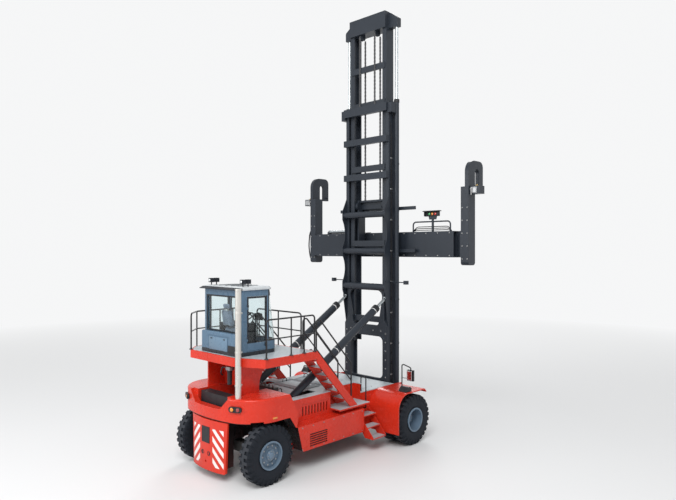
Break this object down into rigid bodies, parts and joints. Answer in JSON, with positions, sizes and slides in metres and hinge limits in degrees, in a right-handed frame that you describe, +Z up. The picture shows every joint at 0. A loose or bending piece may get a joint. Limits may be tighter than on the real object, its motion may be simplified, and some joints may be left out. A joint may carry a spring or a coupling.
{
  "type": "empty container handler",
  "caption": "Heavy wheeled mast truck with a raised cab, tilting duplex mast and a telescopic side spreader for lifting empty containers.",
  "frame": {"origin": "on the ground, under the middle of the overall box", "axes": "+X forward towards the spreader, +Y left, +Z up"},
  "size_m": [7.255, 7, 12.5596],
  "materials": {
    "red_paint": "gloss",
    "mast_paint": "satin",
    "cab_paint": "satin",
    "rim_paint": "satin",
    "deck_grey": "matte",
    "rail_black": "satin",
    "tyre": "matte",
    "cab_glass": "clear",
    "rod_chrome": "polished",
    "stack_steel": "brushed",
    "seat_cloth": "woven",
    "black_plastic": "matte",
    "engine_iron": "cast",
    "chain_steel": "oiled",
    "weight_red": "gloss"
  },
  "bodies": {
    "chassis": {"chassis_hull": "red_paint", "side_tanks": "red_paint", "tail_body": "red_paint", "cab_tower": "red_paint", "platform_frame": "red_paint", "stair_stringers": "red_paint", "front_fenders": "red_paint", "counterweight": "weight_red", "deck_plates": "deck_grey", "platform_deck": "deck_grey", "stair_treads": "deck_grey", "engine_block": "engine_iron", "cooler": "black_plastic", "head_lamps": "black_plastic", "tail_lamps": "black_plastic", "cab_console": "black_plastic", "cab_roof": "black_plastic", "guard_rails": "rail_black", "mirrors": "rail_black", "exhaust_stack": "stack_steel", "cab_shell": "cab_paint", "cab_glass": "cab_glass", "cab_seat": "seat_cloth", "drive_axle": "mast_paint", "steer_axle": "mast_paint"},
    "outer_mast": {"outer_mast": "mast_paint", "lift_barrels": "mast_paint"},
    "inner_mast": {"inner_mast": "mast_paint", "lift_rods": "rod_chrome", "lift_chains_rear": "chain_steel", "lift_chains_front": "chain_steel"},
    "carriage": {"carriage": "mast_paint"},
    "spreader": {"spreader_beam": "mast_paint"},
    "door_left": {"cab_door_left": "rail_black", "door_glass_left": "cab_glass"},
    "front_wheels_left": {"front_tyres_left": "tyre", "front_rims_left": "rim_paint"},
    "steering_left": {"knuckle_left": "mast_paint"},
    "rear_wheel_left": {"rear_tyre_left": "tyre", "rear_rim_left": "rim_paint"},
    "arm_left": {"spreader_arm_left": "mast_paint"},
    "tilt_barrel_left": {"tilt_barrel_left": "mast_paint"},
    "tilt_rod_left": {"tilt_rod_left": "rod_chrome"},
    "door_right": {"cab_door_right": "rail_black", "door_glass_right": "cab_glass"},
    "front_wheels_right": {"front_tyres_right": "tyre", "front_rims_right": "rim_paint"},
    "steering_right": {"knuckle_right": "mast_paint"},
    "rear_wheel_right": {"rear_tyre_right": "tyre", "rear_rim_right": "rim_paint"},
    "arm_right": {"spreader_arm_right": "mast_paint"},
    "tilt_barrel_right": {"tilt_barrel_right": "mast_paint"},
    "tilt_rod_right": {"tilt_rod_right": "rod_chrome"}
  },
  "joints": [
    {"name": "mast_tilt", "type": "hinge", "parent": "chassis", "child": "outer_mast", "pos_m": [2.2475, 0, 0.75], "axis": [0, 1, 0], "range_deg": [-3, 5]},
    {"name": "mast_lift", "type": "slide", "parent": "outer_mast", "child": "inner_mast", "axis": [0, 0, 1], "range_m": [-2.1, 4.6], "deforming": ["lift_chains_rear"]},
    {"name": "carriage_lift", "type": "slide", "parent": "inner_mast", "child": "carriage", "axis": [0, 0, 1], "range_m": [-2.1, 4.6], "deforming": ["lift_chains_front"]},
    {"name": "side_shift", "type": "slide", "parent": "carriage", "child": "spreader", "axis": [0, 1, 0], "range_m": [-0.6, 0.6]},
    {"name": "arm_left_slide", "type": "slide", "parent": "spreader", "child": "arm_left", "axis": [0, 1, 0], "range_m": [0, 3.05]},
    {"name": "arm_right_slide", "type": "slide", "parent": "spreader", "child": "arm_right", "axis": [0, -1, 0], "range_m": [0, 3.05]},
    {"name": "front_left_spin", "type": "hinge", "parent": "chassis", "child": "front_wheels_left", "pos_m": [1.7975, 1.72, 0.69], "axis": [0, 1, 0], "continuous": true},
    {"name": "steer_left", "type": "hinge", "parent": "chassis", "child": "steering_left", "pos_m": [-2.8425, 1.03, 0.69], "axis": [0, 0, 1], "range_deg": [-45, 45]},
    {"name": "rear_left_spin", "type": "hinge", "parent": "steering_left", "child": "rear_wheel_left", "pos_m": [-2.8425, 1.29, 0.69], "axis": [0, 1, 0], "continuous": true},
    {"name": "door_left_hinge", "type": "hinge", "parent": "chassis", "child": "door_left", "pos_m": [-3.0025, 0.782, 3.6], "axis": [0, 0, 1], "range_deg": [0, 60]},
    {"name": "tilt_barrel_left_swing", "type": "hinge", "parent": "chassis", "child": "tilt_barrel_left", "pos_m": [-1.7625, 0.79, 1.6], "axis": [0, 1, 0], "range_deg": [-3, 3]},
    {"name": "tilt_rod_left_slide", "type": "slide", "parent": "tilt_barrel_left", "child": "tilt_rod_left", "axis": [0.854, 0, 0.5203], "range_m": [-0.3, 0.4]},
    {"name": "front_right_spin", "type": "hinge", "parent": "chassis", "child": "front_wheels_right", "pos_m": [1.7975, -1.72, 0.69], "axis": [0, 1, 0], "continuous": true},
    {"name": "steer_right", "type": "hinge", "parent": "chassis", "child": "steering_right", "pos_m": [-2.8425, -1.03, 0.69], "axis": [0, 0, 1], "range_deg": [-45, 45]},
    {"name": "rear_right_spin", "type": "hinge", "parent": "steering_right", "child": "rear_wheel_right", "pos_m": [-2.8425, -1.29, 0.69], "axis": [0, 1, 0], "continuous": true},
    {"name": "door_right_hinge", "type": "hinge", "parent": "chassis", "child": "door_right", "pos_m": [-3.0025, -0.782, 3.6], "axis": [0, 0, -1], "range_deg": [0, 60]},
    {"name": "tilt_barrel_right_swing", "type": "hinge", "parent": "chassis", "child": "tilt_barrel_right", "pos_m": [-1.7625, -0.79, 1.6], "axis": [0, 1, 0], "range_deg": [-3, 3]},
    {"name": "tilt_rod_right_slide", "type": "slide", "parent": "tilt_barrel_right", "child": "tilt_rod_right", "axis": [0.854, 0, 0.5203], "range_m": [-0.3, 0.4]}
  ],
  "couplings": [
    {"joint": "carriage_lift", "follows": "mast_lift", "ratio": 1},
    {"joint": "arm_right_slide", "follows": "arm_left_slide", "ratio": 1},
    {"joint": "tilt_barrel_left_swing", "follows": "mast_tilt", "ratio": 0.34951},
    {"joint": "tilt_rod_left_slide", "follows": "mast_tilt", "m_per_rad": 2.7875},
    {"joint": "tilt_barrel_right_swing", "follows": "mast_tilt", "ratio": 0.34951},
    {"joint": "tilt_rod_right_slide", "follows": "mast_tilt", "m_per_rad": 2.7875},
    {"joint": "steer_right", "follows": "steer_left", "ratio": 1}
  ]
}
